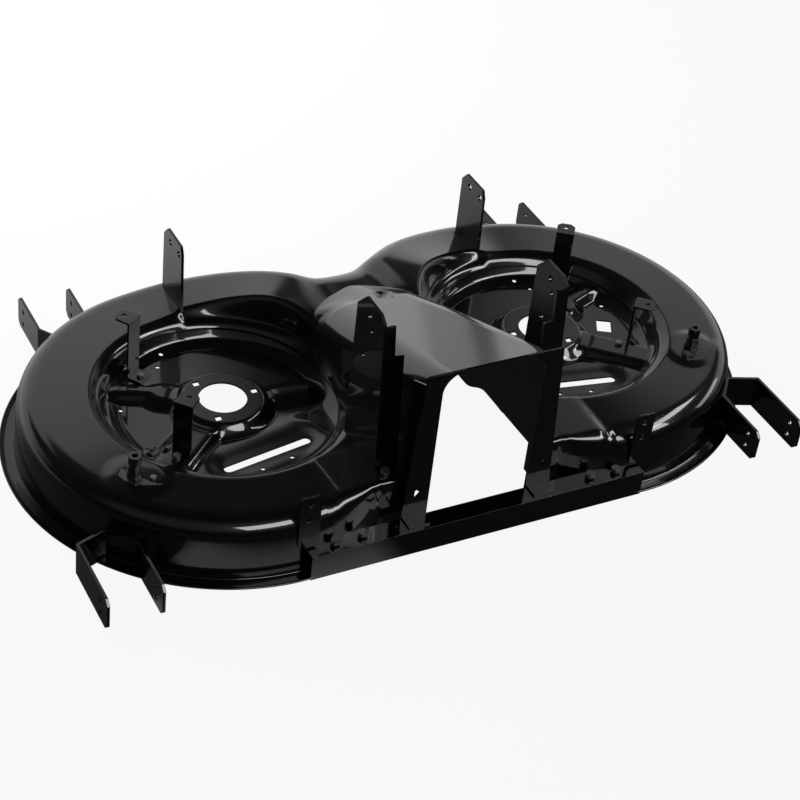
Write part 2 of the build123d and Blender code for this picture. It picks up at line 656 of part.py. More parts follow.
# Cover posts: strip with a top tab and a foot screwed to the pan
for place, (x, y, angle, tab_side, seat) in POSTS.items():
    along = (cos(radians(angle)), sin(radians(angle)), 0)
    base = Plane(origin=(x, SPINDLE_Y + y, seat), x_dir=along, z_dir=(0, 0, 1))
    with BuildPart() as cover_post:
        with BuildSketch(base) as strip:
            Rectangle(POST_WIDTH, STRIP)
        extrude(strip.sketch, amount=POST_TOP - seat)
        with BuildSketch(base) as foot:
            with Locations((0, -tab_side * POST_FOOT / 2)):
                Rectangle(POST_WIDTH, POST_FOOT)
            with Locations((0, -tab_side * POST_FOOT * 0.6)):
                Circle(3 + FIT, mode=Mode.SUBTRACT)
        extrude(foot.sketch, amount=STRIP)
        with BuildSketch(base.offset(POST_TOP - STRIP - seat)) as tab:
            half, far, near = POST_WIDTH / 2, tab_side * POST_TAB, tab_side * (POST_TAB - POST_CORNER)
            Polygon((-half, 0), (half, 0), (half, near), (half - POST_CORNER, far),
                    (POST_CORNER - half, far), (-half, near), align=None)
            with Locations((0, tab_side * POST_TAB * 0.6)):
                Circle(3.5, mode=Mode.SUBTRACT)
        extrude(tab.sketch, amount=STRIP)
    cover_post.part.label = "cover_post_" + place
    export_step(cover_post.part, "parts/cover_post_" + place + ".step")

with BuildPart() as post_screws:
    for x, y, angle, tab_side, seat in POSTS.values():
        back = -tab_side * POST_FOOT * 0.6
        at = (x - back * sin(radians(angle)), y + back * cos(radians(angle)))
        bolt(at[0], at[1], seat + STRIP, STRIP + 8, 3, 5.5, 4)
post_screws.part.label = "post_screws"
export_step(post_screws.part, "parts/post_screws.step")
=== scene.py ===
# %% [markdown]
# # A bare mowing deck in gloss black
# The packed frame holds every bracket, plate and bolt of the deck at its real size.
# This lesson dresses that frame: the two big pressings are drawn again as smooth sheet
# surfaces, the small parts get softened edges, and everything gets its paint.

# %% The packed frame
import json
import math

import bmesh
import bpy
import numpy as np
from mathutils import Matrix, Vector

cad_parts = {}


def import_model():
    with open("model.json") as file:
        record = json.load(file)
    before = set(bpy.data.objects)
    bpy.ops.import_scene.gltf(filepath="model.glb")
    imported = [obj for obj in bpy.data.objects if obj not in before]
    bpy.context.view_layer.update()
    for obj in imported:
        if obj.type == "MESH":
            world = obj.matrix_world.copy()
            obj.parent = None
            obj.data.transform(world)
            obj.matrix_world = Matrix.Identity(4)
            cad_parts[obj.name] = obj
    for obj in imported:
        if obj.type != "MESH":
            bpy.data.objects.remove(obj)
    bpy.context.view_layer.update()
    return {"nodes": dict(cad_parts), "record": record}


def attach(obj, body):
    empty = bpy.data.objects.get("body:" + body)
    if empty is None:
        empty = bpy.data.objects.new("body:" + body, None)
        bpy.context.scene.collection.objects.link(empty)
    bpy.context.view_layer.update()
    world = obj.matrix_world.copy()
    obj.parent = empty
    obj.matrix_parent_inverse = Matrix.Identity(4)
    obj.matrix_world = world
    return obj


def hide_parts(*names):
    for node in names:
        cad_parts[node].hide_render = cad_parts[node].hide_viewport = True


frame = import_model()
scene = bpy.context.scene

# %% [markdown]
# ## Millimetres first
# A deck is drawn in millimetres from the line that joins its two spindles, so the shapes
# below are worked out that way. One function carries them into the frame, which is in metres
# and has its middle a little ahead of that line.

# %% From the drawing to the frame
SPINDLE_X = 245.0
SPINDLE_LINE = -28.5
BOSS_Z = 78.5


def to_frame(x, y, z):
    """Points in metres from millimetres off the spindle line: (x, y + line, z) / 1000."""
    x, y, z = np.broadcast_arrays(x, y, z)
    return np.stack([x, y + SPINDLE_LINE, z], axis=-1) / 1000.0


print("left spindle", to_frame(-SPINDLE_X, 0, BOSS_Z))

# %% [markdown]
# ## The camera
# The photograph was taken from the left, well above the deck, with a long lens and a small
# tilt. The place comes from matching the left and right pairs of holes and brackets, which
# mirror each other, so the lens and the tilt are numbers rather than taste.

# %% Camera
CAMERA_AT = (-1.1459, -1.9813, 1.7571)
CAMERA_AZIMUTH, CAMERA_HEIGHT, CAMERA_ROLL = (math.radians(a) for a in (-31.0, 37.59, 7.22))
LENS_MM, SENSOR_MM = 92.24, 36.0


def camera_axes(azimuth, height, roll):
    """Right, up and backward axes of a camera that looks at the deck: level axes turned by roll."""
    flat = math.cos(height)
    back = Vector((math.sin(azimuth) * flat, -math.cos(azimuth) * flat, math.sin(height)))
    level = Vector((math.cos(azimuth), math.sin(azimuth), 0.0))
    upward = back.cross(level)
    right = math.cos(roll) * level + math.sin(roll) * upward
    up = math.cos(roll) * upward - math.sin(roll) * level
    return right, up, back


lens = bpy.data.cameras.new("photo_camera")
lens.lens, lens.sensor_width = LENS_MM, SENSOR_MM
camera = bpy.data.objects.new("photo_camera", lens)
scene.collection.objects.link(camera)
turn = Matrix(camera_axes(CAMERA_AZIMUTH, CAMERA_HEIGHT, CAMERA_ROLL)).transposed().to_4x4()
camera.matrix_world = Matrix.Translation(CAMERA_AT) @ turn
scene.camera = camera
scene.view_settings.view_transform = "Standard"
print("camera", tuple(round(v, 3) for v in camera.location))

# %% [markdown]
# ## Shader sums as Python
# A paint is a sum of noises and masks. Wrapping a socket in a small class lets that sum be
# written with ordinary operators, and each operator adds its own Math node. Every other node
# comes from one method that takes its type, its settings and its sockets.

# %% Wires


class Wire:
    """One output socket. Sums, differences and products of wires add Math nodes."""

    def __init__(self, bench, socket):
        self.bench, self.socket = bench, socket

    def _math(self, operation, first, second):
        return self.bench.node("ShaderNodeMath", {"operation": operation}, {0: first, 1: second})

    def __add__(self, other):
        return self._math("ADD", self, other)

    def __radd__(self, other):
        return self._math("ADD", other, self)

    def __sub__(self, other):
        return self._math("SUBTRACT", self, other)

    def __rsub__(self, other):
        return self._math("SUBTRACT", other, self)

    def __mul__(self, other):
        return self._math("MULTIPLY", self, other)

    def __rmul__(self, other):
        return self._math("MULTIPLY", other, self)

    def lowest(self, other):
        return self._math("MINIMUM", self, other)

    def highest(self, other):
        return self._math("MAXIMUM", self, other)

    def ramp(self, start, end):
        """0 below start, 1 above end, smooth between them."""
        return self.bench.node(
            "ShaderNodeMapRange",
            {"interpolation_type": "SMOOTHSTEP"},
            {"Value": self, "From Min": start, "From Max": end},
        )

    def band(self, start, full, hold, end):
        """0 below start, 1 from full to hold, 0 above end."""
        return self.ramp(start, full) * (1.0 - self.ramp(hold, end))

    def beside(self, out):
        """Another output of the same node."""
        return Wire(self.bench, self.socket.node.outputs[out])


print("operators", [name for name in vars(Wire) if name.startswith("__r")])

# %% The bench that wires are joined on


class Bench:
    """A node tree to work on."""

    def __init__(self, tree):
        self.tree = tree
        tree.nodes.clear()

    def node(self, kind, settings=None, sockets=None, out=0):
        """Add a node, set its settings, fill its sockets with values or wires, return an output."""
        made = self.tree.nodes.new(kind)
        for name, value in (settings or {}).items():
            setattr(made, name, value)
        for name, value in (sockets or {}).items():
            if isinstance(value, Wire):
                self.tree.links.new(value.socket, made.inputs[name])
            else:
                made.inputs[name].default_value = value
        return Wire(self, made.outputs[out]) if len(made.outputs) else made

    def mix(self, share, one, two):
        """A colour between two others: the first at share 0, the second at share 1."""
        colours = {0: share, 6: one, 7: two}
        return self.node("ShaderNodeMix", {"data_type": "RGBA"}, colours, out=2)


def new_material(name):
    """An empty material and the bench of its nodes."""
    made = bpy.data.materials.new(name)
    made.use_nodes = True
    return made, Bench(made.node_tree)


print("bench ready")

# %% [markdown]
# ## Studio
# The photograph is a cut-out on white, and black gloss shows little but what it mirrors. So the
# room is drawn first: a soft window far behind the deck, a smaller one to its right, a pale band
# low along the back that a dim stretch and a dark post break up, and a faint sky on the camera's
# side. The camera itself sees plain white.

# %% Room light
BLACK, WHITE = (0.0, 0.0, 0.0, 1.0), (1.0, 1.0, 1.0, 1.0)
FAR_WINDOW, SIDE_WINDOW, BACK_BAND, FRONT_SKY = 0.78, 0.5, 0.76, 0.15
DIM_STRETCH, DARK_POST = 0.42, 0.46
ROOM_GLOW, BRIGHTEST = 0.025, 0.95

world = bpy.data.worlds.new("studio")
scene.world = world
world.use_nodes = True
room = Bench(world.node_tree)
way = room.node("ShaderNodeTexCoord", out="Generated")
split = room.node("ShaderNodeSeparateXYZ", {}, {0: way})
wx, wy, wz = (split.beside(i) for i in range(3))

sideways = 0.994 * wx - 0.105 * wy
far_window = FAR_WINDOW * sideways.band(-0.5, -0.36, 0.21, 0.29) * wz.band(0.3, 0.44, 0.67, 0.735)
side_window = SIDE_WINDOW * (0.629 * wx + 0.608 * wy + 0.485 * wz).ramp(0.966, 0.992)

across = 0.8988 * wx - 0.4384 * wy
dim_wall = DIM_STRETCH * across.band(-0.017, -0.011, 0.017, 0.021)
dark_post = DARK_POST * across.band(0.006, 0.01, 0.016, 0.02)
above = wz.ramp(0.04, 0.08)
far_end = (1.0 - dim_wall - dark_post) * (1.0 - above) + above
to_back = (0.342 * wx + 0.94 * wy).ramp(0.1, 0.6)
back_band = BACK_BAND * far_end * to_back * (1.0 - wz.ramp(0.3, 0.44))

front_sky = FRONT_SKY * (0.515 * wx + 0.857 * wy).ramp(-0.2, -0.7) * wz.ramp(0.25, 0.5)
ahead = (far_window * wy.ramp(0.0, 0.1) + back_band + side_window).lowest(BRIGHTEST)
level = ROOM_GLOW + ahead + front_sky
looked_at = room.node("ShaderNodeLightPath").beside("Is Camera Ray")
level = level + (1.0 - level) * looked_at
shade = room.node("ShaderNodeBackground", {}, {"Color": WHITE, "Strength": level})
room.node("ShaderNodeOutputWorld", {}, {"Surface": shade})
print("room nodes", len(world.node_tree.nodes))

# %% [markdown]
# ## Floor
# The floor is white to the camera and still takes the deck's shadow, so a little of it stays a
# plain matt surface. To the gloss it is a painted glow: painted shadow near the camera, pale
# beyond the deck, and one soft painted light patch that puts a painted reflection on the near
# skirt.

# %% Floor
FLOOR_REACH, FLOOR_Z = 3.0, -0.0005
FLOOR_WHITE = 0.92


def floor_paint(name):
    """Pale floor: matt to the light, white to the camera; to the gloss a painted glow, with painted
    shadow near the camera and one painted light patch.
    """
    made, bench = new_material(name)
    path = bench.node("ShaderNodeLightPath")
    camera_ray, glossy, through = (
        path.beside(ray) for ray in ("Is Camera Ray", "Is Glossy Ray", "Is Transmission Ray")
    )
    at = bench.node("ShaderNodeTexCoord", out="Object")
    spot = bench.node("ShaderNodeSeparateXYZ", {}, {0: at})
    fx, fy = spot.beside(0), spot.beside(1)
    # painted light: a soft glowing patch that only the gloss sees, a painted reflection on the near
    # skirt
    painted_light_patch = fx.band(-0.46, -0.41, -0.16, -0.1) * fy.band(-0.4, -0.315, -0.29, -0.27)
    # painted shadow: the glow the gloss sees is dim near the camera, where the deck's shadow falls,
    # and pale beyond it
    painted_gloss_light = 0.05 + 0.7 * fy.ramp(0.0, 0.6) + 0.8 * painted_light_patch
    tint = bench.mix(camera_ray.highest(painted_gloss_light), BLACK, WHITE)
    seen = (FLOOR_WHITE * camera_ray).highest(glossy.highest(through))
    lit = bench.node("ShaderNodeBsdfDiffuse", {}, {"Color": (0.9, 0.9, 0.9, 1.0)})
    white = bench.node("ShaderNodeEmission", {}, {"Color": tint, "Strength": 1.0})
    mixed = bench.node("ShaderNodeMixShader", {}, {0: seen, 1: lit, 2: white})
    bench.node("ShaderNodeOutputMaterial", {}, {"Surface": mixed})
    return made


corners = FLOOR_REACH * np.array([(-1, -1), (1, -1), (1, 1), (-1, 1)])
floor_mesh = bpy.data.meshes.new("floor")
floor_mesh.from_pydata(np.column_stack([corners, np.full(4, FLOOR_Z)]).tolist(), [], [(0, 1, 2, 3)])
floor_mesh.materials.append(floor_paint("studio_floor"))
floor = bpy.data.objects.new("floor", floor_mesh)
scene.collection.objects.link(floor)
print("floor", FLOOR_REACH * 2, "m wide")

# %% [markdown]
# ## Lamps
# One lamp lights the paint's own colour from the back. The others are soft boxes that show only
# in the gloss, as long lines along the shoulders and lips.

# %% Lamps
DECK_MIDDLE = (0.0, 0.0, 0.1)
# name, place, aim, width, height, power, and what it shows in
LAMPS = (
    ("back_key", (-0.4, 1.5, 0.75), (-0.2, 0.7, 0.0), 1.6, 0.8, 30.0, "colour"),
    ("front_box", (0.75, -1.9, 1.75), DECK_MIDDLE, 3.2, 0.8, 75.0, "gloss"),
    ("right_box", (2.0, -0.6, 2.05), DECK_MIDDLE, 2.2, 0.42, 25.0, "gloss"),
    ("low_box", (2.5, -0.35, 0.7), DECK_MIDDLE, 0.9, 0.4, 3.4, "gloss"),
)


def soft_lamp(name, at, aim, width, height, power, shows_in):
    """A rectangular lamp that faces a point and shows in the paint's colour or in its gloss."""
    lamp = bpy.data.lights.new(name, "AREA")
    lamp.shape, lamp.size, lamp.size_y, lamp.energy = "RECTANGLE", width, height, power
    holder = bpy.data.objects.new(name, lamp)
    holder.location = at
    holder.rotation_euler = (Vector(aim) - Vector(at)).to_track_quat("-Z", "Y").to_euler()
    holder.visible_camera = False
    holder.visible_glossy, holder.visible_diffuse = shows_in == "gloss", shows_in == "colour"
    scene.collection.objects.link(holder)


for lamp in LAMPS:
    soft_lamp(*lamp)

# %% [markdown]
# ## Black paint
# The deck is dipped and baked in gloss black. Close up such paint has a fine orange-peel
# ripple, a haze that comes and goes, and a thicker, glossier film where it could settle, on
# the faces that look up. The film is the coat of the shader, and its weight follows the way
# a face looks.

# %% Paint finishes
CLOUD_SCALE, PEEL_SCALE, SPECK_SCALE = 9.0, 420.0, 260.0
DUST_COLOUR = (0.2, 0.2, 0.2, 1.0)
PEEL_DEPTH = 0.0002


def paint(name, colour, rough, peel, film, dust):
    """Gloss paint: cloudy colour, hazy roughness, orange-peel bump, a coat that settles on tops."""
    made, bench = new_material(name)
    at = bench.node("ShaderNodeTexCoord", out="Object")
    cloud = {"Vector": at, "Scale": CLOUD_SCALE, "Detail": 3.0, "Roughness": 0.55}
    fine = {"Vector": at, "Scale": PEEL_SCALE, "Detail": 2.0, "Roughness": 0.5}
    cloud, fine = (bench.node("ShaderNodeTexNoise", {}, noise) for noise in (cloud, fine))
    dots = {"Vector": at, "Scale": SPECK_SCALE}
    specks = bench.node("ShaderNodeTexVoronoi", {"feature": "F1"}, dots)
    looks = bench.node("ShaderNodeNewGeometry", out="Normal")
    up = bench.node("ShaderNodeSeparateXYZ", {}, {0: looks}).beside(2)
    settled = up.ramp(0.05, 0.45)
    speck = (1.0 - specks.ramp(0.05, 0.2)) * settled * dust
    dark, pale = (tuple(c * by for c in colour) + (1.0,) for by in (0.8, 1.25))
    dusty = bench.mix(speck, bench.mix(cloud.ramp(0.3, 0.7), dark, pale), DUST_COLOUR)
    ripple = {"Height": fine, "Strength": peel, "Distance": PEEL_DEPTH}
    bump = bench.node("ShaderNodeBump", {}, ripple)
    shader = bench.node(
        "ShaderNodeBsdfPrincipled",
        {},
        {
            "Base Color": dusty,
            "Roughness": rough + 0.08 * cloud,
            "Specular IOR Level": 0.08,
            "Coat Weight": film * (0.7 + 0.3 * settled),
            "Coat Roughness": 0.06,
            "Coat IOR": 1.5,
            "Normal": bump,
        },
    )
    bench.node("ShaderNodeOutputMaterial", {}, {"Surface": shader})
    return made


# colour, roughness, peel, film and dust of each finish
FINISHES = {
    "pressing_paint": ((0.006, 0.006, 0.0062), 0.25, 0.05, 1.0, 0.03),
    "bracket_paint": ((0.006, 0.006, 0.0062), 0.28, 0.06, 0.95, 0.02),
    # the fasteners' grey base is a painted highlight on black bolts
    "fastener_paint": ((0.14, 0.14, 0.145), 0.2, 0.1, 1.0, 0.04),
    "port_plastic": ((0.02, 0.02, 0.0205), 0.24, 0.03, 0.95, 0.02),
}
PAINTS = {name: paint(name, *finish) for name, finish in FINISHES.items()}
print("paints", list(PAINTS))

# %% [markdown]
# ## Sheet surfaces
# A pressing is a height above a plan, so each surface below is a grid of two parameters,
# worked out as whole arrays. The helpers join a grid into faces and make it a piece of the
# object that rides on the frame.

# %% Grids into pieces


def grid_faces(rows, columns, closed):
    """Corner numbers of the quads of a grid, its columns joined end to end where it is closed."""
    wide = columns if closed else columns - 1
    row, column = np.meshgrid(np.arange(rows - 1), np.arange(wide), indexing="ij")
    here, above = row * columns, (row + 1) * columns
    after = (column + 1) % columns
    quads = [here + column, here + after, above + after, above + column]
    return np.stack(quads, axis=-1).reshape(-1, 4)


def piece(name, points, faces, slot):
    """A mesh object at the origin from points in metres, with its paint, riding on the deck."""
    mesh = bpy.data.meshes.new(name)
    mesh.from_pydata(points.reshape(-1, 3).tolist(), [], faces.tolist())
    mesh.polygons.foreach_set("use_smooth", np.full(len(mesh.polygons), True))
    mesh.materials.append(PAINTS[slot])
    thing = bpy.data.objects.new(name, mesh)
    scene.collection.objects.link(thing)
    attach(thing, "root")
    return thing


print("faces of a 3 by 4 grid", len(grid_faces(3, 4, False)))

# %% [markdown]
# ## Sheet metal helpers
# A grid closed on itself has doubled points, and an open sheet has no sure outside. So each
# sheet is merged, turned the right way up and only then given its thickness, downwards.

# %% Merging, turning and thickening
SHEET = 0.0025
MERGE = 0.00002


def tidy(thing):
    """Merge doubled points, drop points that no face uses and turn all faces the same way."""
    work = bmesh.new()
    work.from_mesh(thing.data)
    bmesh.ops.remove_doubles(work, verts=work.verts, dist=MERGE)
    bmesh.ops.dissolve_degenerate(work, edges=work.edges, dist=MERGE)
    loose = [v for v in work.verts if not v.link_faces]
    bmesh.ops.delete(work, geom=loose, context="VERTS")
    bmesh.ops.recalc_face_normals(work, faces=work.faces)
    work.to_mesh(thing.data)
    work.free()


def face_up(thing):
    """Turn a sheet over if its faces look down, by the mean height of their normals."""
    normals = np.empty(3 * len(thing.data.polygons), np.float32)
    thing.data.polygons.foreach_get("normal", normals)
    if normals[2::3].mean() < 0:
        thing.data.flip_normals()


def apply_modifiers(thing):
    """Turn the modified shape into the object's own mesh."""
    graph = bpy.context.evaluated_depsgraph_get()
    shaped = bpy.data.meshes.new_from_object(thing.evaluated_get(graph))
    old = thing.data
    thing.modifiers.clear()
    thing.data = shaped
    bpy.data.meshes.remove(old)


def thicken(thing):
    """Give a sheet its thickness, below its outer face."""
    wall = thing.modifiers.new("wall", "SOLIDIFY")
    wall.thickness, wall.offset = SHEET, -1.0
    apply_modifiers(thing)


print("sheet", SHEET * 1000, "mm")

# %% [markdown]
# ## The ring section
# Each half of the deck is a ring pressed round its spindle: a raised boss, a sunk pan, a
# narrow ledge, a rolled lip and a top that falls gently to the shoulder. Sheet can't bend
# sharply, so the section is drawn with straight runs and then smoothed over a few millimetres.

# %% Section of a ring
RUN_STEP = 0.25
RUN_R = np.arange(0.0, 330.0, RUN_STEP)
SECTION_R = (0.0, 55.0, 71.0, 134.0, 149.0, 162.0, 172.0, 249.0, 330.0)
SECTION_Z = (BOSS_Z, BOSS_Z, 60.5, 60.0, 65.5, 87.0, 91.8, 87.0, 82.0)
CORNER_ROLL = 3.4


def rolled(values, width, step):
    """A run of heights with its corners rolled: a moving mean of the given width, taken twice."""
    count = max(3, int(width / step) | 1)
    kernel = np.ones(count) / count
    twice = np.convolve(kernel, kernel)
    return np.convolve(np.pad(values, len(twice) // 2, mode="edge"), twice, mode="valid")


SECTION = rolled(np.interp(RUN_R, SECTION_R, SECTION_Z), CORNER_ROLL, RUN_STEP)
print("lip height", SECTION.max())

# %% [markdown]
# ## Soft masks
# A relief is a patch in plan that fades out over its edge. Two shapes serve for all of them: a
# turned strip and a turned slot with round ends.

# %% Masks in plan


def soft(value, width):
    """0 below -width/2, 1 above width/2, smooth between them: 3t^2 - 2t^3."""
    t = np.clip(value / width + 0.5, 0.0, 1.0)
    return t * t * (3.0 - 2.0 * t)


def past(value, limit):
    """0 before a limit, 1 past it; a limit is its place and the width it is smooth over."""
    return soft(value - limit[0], limit[1])


def before(value, limit):
    """1 before a limit, 0 past it, in the same way."""
    return soft(limit[0] - value, limit[1])


def turned_axes(x, y, at, turn_degrees):
    """Distances along and across a line through a place, turned from X: a plane rotation."""
    turned = math.radians(turn_degrees)
    along = (x - at[0]) * math.cos(turned) + (y - at[1]) * math.sin(turned)
    across = (y - at[1]) * math.cos(turned) - (x - at[0]) * math.sin(turned)
    return along, across


def strip_mask(x, y, at, turn_degrees, length, width, edge):
    """1 inside a turned rectangle, falling to 0 over the width of its edge."""
    along, across = turned_axes(x, y, at, turn_degrees)
    return soft(length / 2 - np.abs(along), edge) * soft(width / 2 - np.abs(across), edge)


def capsule_mask(x, y, at, turn_degrees, length, width, edge):
    """1 inside a turned slot with round ends, falling to 0 over its edge."""
    along, across = turned_axes(x, y, at, turn_degrees)
    past = np.maximum(np.abs(along) - (length - width) / 2, 0.0)
    return soft(width / 2 - np.hypot(past, across), edge)


print("middle of a slot mask", capsule_mask(0.0, 0.0, (0.0, 0.0), 0.0, 30.0, 10.0, 4.0))

# %% [markdown]
# ## Reliefs of the pan
# Arms and pads are pressed up from the pan's floor to stiffen it, a channel leads to the long
# slot, and the floor dips towards the front. The lip is round a point a little behind the
# spindle, so the ring is narrower at the rear. The mirror image serves the other pan, so the
# height takes coordinates that grow towards the middle of the deck.

# %% Reach and reliefs
LIP_SHIFT, HANGER_NOTCH = 5.5, 7.0
FRONT_DIP, CHANNEL_DEPTH = 4.0, 2.0
SLOT_TURN = 9.6
# limits: a place and the width it is smooth over
NOTCH_INWARD, NOTCH_FRONT, NOTCH_OUT = (6.0, 14.0), (90.0, 80.0), (164.0, 14.0)
LIP_ROUND, BOSS_FOOT, LEDGE_FOOT = (137.0, 24.0), (66.0, 10.0), (136.0, 12.0)
DIP_START, CHANNEL_END = (55.0, 70.0), (146.0, 12.0)
# place, turn, length, width and edge of the channel
CHANNEL = ((18.0, -110.0), SLOT_TURN, 160.0, 50.0, 26.0)
# place, turn, length, width, edge and top height of each raised relief
RELIEFS = (
    ((86.0, -4.5), -3.0, 96.0, 34.0, 24.0, 71.0),
    ((-100.0, 64.0), 158.0, 124.0, 26.0, 14.0, 70.5),
    ((-62.0, 44.0), 150.0, 56.0, 44.0, 20.0, 70.5),
    ((-77.0, -68.0), -138.0, 150.0, 52.0, 15.0, 75.0),
    ((8.0, -116.0), SLOT_TURN, 230.0, 100.0, 60.0, 67.5),
)


def ring_reach(inward, y):
    """Radius to read the section at: from the spindle near the boss, from a point behind it at
    the lip, less a notch beside the hanger."""
    plain = np.hypot(inward, y)
    shifted = np.hypot(inward, y + LIP_SHIFT) - LIP_SHIFT
    notch = past(inward, NOTCH_INWARD) * past(y, NOTCH_FRONT) * past(plain, NOTCH_OUT)
    return plain + (shifted - HANGER_NOTCH * notch - plain) * past(plain, LIP_ROUND)


def ring_height(inward, y):
    """Height of the plain ring: the section read at the reach of a place."""
    return np.interp(ring_reach(inward, y), RUN_R, SECTION)


def raised(inward, y):
    """What the reliefs add to the ring before they are softened: the highest of the arms and
    pads, less the front dip and the slot's channel."""
    radius, base = np.hypot(inward, y), ring_height(inward, y)
    open_floor = past(radius, BOSS_FOOT) * before(radius, LEDGE_FOOT)
    height = base - FRONT_DIP * past(y, DIP_START) * open_floor
    for at, turn_degrees, length, width, edge, top in RELIEFS:
        mask = capsule_mask(inward, y, at, turn_degrees, length, width, edge)
        height = np.maximum(height, base + (top - base) * mask)
    channel = capsule_mask(inward, y, *CHANNEL) * before(radius, CHANNEL_END)
    return height - base - CHANNEL_DEPTH * channel


print("reach at the lip", ring_reach(np.array(170.0), np.array(0.0)))

# %% Softened reliefs
SPAN = 170
RELIEF_ROLL = 6.0


def blurred(field, width):
    """A field on a grid with each row and column rolled, which rounds its edges as sheet does."""
    across = np.apply_along_axis(rolled, 1, field, width, 1.0)
    return np.apply_along_axis(rolled, 0, across, width, 1.0)


steps = np.arange(-SPAN, SPAN + 1.0)
RELIEF_MAP = blurred(raised(steps[None, :], steps[:, None]), RELIEF_ROLL)


def relief(inward, y):
    """The softened relief at a place: the map read between its four nearest points."""
    column, row = (np.clip(v + SPAN, 0, 2 * SPAN - 0.001) for v in (inward, y))
    left, low = column.astype(int), row.astype(int)
    fx, fy = column - left, row - low
    lower = RELIEF_MAP[low, left] * (1 - fx) + RELIEF_MAP[low, left + 1] * fx
    upper = RELIEF_MAP[low + 1, left] * (1 - fx) + RELIEF_MAP[low + 1, left + 1] * fx
    return lower * (1 - fy) + upper * fy


print("highest relief", RELIEF_MAP.max())

# %% Height of a pan
OVAL_AT, OVAL_TURN = (-117.0, -61.0), -55.0
OVAL_HEIGHT, CROSS_DEPTH = 3.0, 1.0
OVAL = (OVAL_AT, OVAL_TURN, 30.0, 17.0, 5.0)
CROSS_BARS = (OVAL_AT, OVAL_TURN, 20.0, 3.0, 2.5), (OVAL_AT, OVAL_TURN + 90.0, 11.0, 3.0, 2.5)


def pan_height(inward, y):
    """Height of a pan at a place measured from its spindle: ring, reliefs and a crossed oval."""
    inward, y = np.asarray(inward, float), np.asarray(y, float)
    oval = capsule_mask(inward, y, *OVAL)
    cross = np.maximum(*(strip_mask(inward, y, *bar) for bar in CROSS_BARS))
    plain = ring_height(inward, y) + relief(inward, y)
    return plain + OVAL_HEIGHT * oval - CROSS_DEPTH * cross


print("boss", pan_height(0.0, 0.0), "floor", pan_height(0.0, 100.0))

# %% [markdown]
# ## The saddle
# Between the rings, at the front, the sheet swells into a low saddle that carries the tunnel's
# tongue, and the top of each ring climbs to meet it. The saddle is a shallow dome, and the
# climb is a table of heights by direction, so it can be matched to the outline one piece at a
# time. By the chute the top is flat, and under the wash port it swells a little.

# %% Height of the sheet
DOME_TOP, DOME_Y, DOME_ROUND, DOME_BLEND = 118.0, 100.0, 700.0, 14.0
RISE_STEP, RISE_ROLL = 0.5, 8.0
RISE_TURN = np.arange(-180.0, 180.0 + RISE_STEP, RISE_STEP)
RISE_AT = (5.0, 20.0, 30.0, 44.0, 53.0, 60.0, 70.0, 78.0, 97.0)
RISE_BY = (0.0, 20.0, 28.0, 32.0, 28.0, 22.0, 14.0, 8.0, 0.0)
RISE = rolled(np.interp(RISE_TURN, RISE_AT, RISE_BY), RISE_ROLL, RISE_STEP)
RISE_START, RISE_END = (169.0, 15.0), (-30.0, 90.0)
RING_TOP, SADDLE_START = (168.0, 13.0), (40.0, 60.0)
FLAT_Z, FLAT_SIDE, FLAT_REAR = 92.4, (-197.0, 9.0), (-171.0, 9.0)
PORT_SWELL, SWELL = 2.0, ((-167.0, -129.0), -40.0, 78.0, 54.0, 20.0)


def dome_height(x, y):
    """The saddle between the rings: top - x^2 / 2R - (y - middle)^2 / 2R."""
    return DOME_TOP - x**2 / (2 * DOME_ROUND) - (y - DOME_Y) ** 2 / (2 * DOME_ROUND)


def rise(inward, y):
    """How far the ring's top climbs towards the tunnel: read by direction, growing from the lip."""
    turn_degrees = np.degrees(np.arctan2(y, inward))
    return np.interp(turn_degrees, RISE_TURN, RISE) * past(ring_reach(inward, y), RISE_START)


def smooth_max(one, two, width):
    """The higher of two heights, with the crease between them filled over the given width."""
    overlap = np.clip(1.0 - np.abs(one - two) / width, 0.0, 1.0)
    return np.maximum(one, two) + overlap**2 * width / 4.0


def top_height(x, y):
    """Height of the left half's sheet: ring or pan, joined to the saddle and the chute's flat."""
    inward = x + SPINDLE_X
    ring = pan_height(inward, y) + rise(inward, y) * before(x, RISE_END)
    outer = past(ring_reach(inward, y), RING_TOP)
    saddle = smooth_max(ring, dome_height(x, y), DOME_BLEND)
    joined = ring + (saddle - ring) * outer * past(y, SADDLE_START)
    flat = past(x, FLAT_SIDE) * before(y, FLAT_REAR) * outer
    swell = PORT_SWELL * capsule_mask(inward, y, *SWELL)
    return joined + (FLAT_Z - joined) * flat + swell


print("saddle", top_height(np.array(0.0), np.array(140.0)))

# %% [markdown]
# ## The outer sheet
# From the ledge outwards the sheet runs over the lip to the shoulder, round the bend, down the
# skirt and out along the rim, whose edge is rolled up. Seen in plan the edge is a circle, except
# at the front, where a hollow arc joins the rings, and by the chute, where it runs straight.
# The grid follows that plan edge, one column for each step along it, and the right half
# is the mirror image of the left.

# %% Sizes of the plan edge
SKIRT_R, BEND, DRAFT = 271.0, 27.0, 3.0
VALLEY_Y, VALLEY_BEND, VALLEY_DROP = 189.0, 50.0, 40.0
VALLEY_R = (SPINDLE_X**2 + VALLEY_Y**2 - SKIRT_R**2) / (2 * (SKIRT_R - VALLEY_Y))
VALLEY_MID = VALLEY_Y + VALLEY_R
TOUCH = math.degrees(math.atan2(VALLEY_MID, SPINDLE_X))
CHUTE_EDGE, CHUTE_X, ROUND_X, CHUTE_TURN = 248.0, -89.0, -133.0, -82.0
BAR_FACE, LEAST_BEND, LEAST_DROP = 245.0, 4.0, 7.0
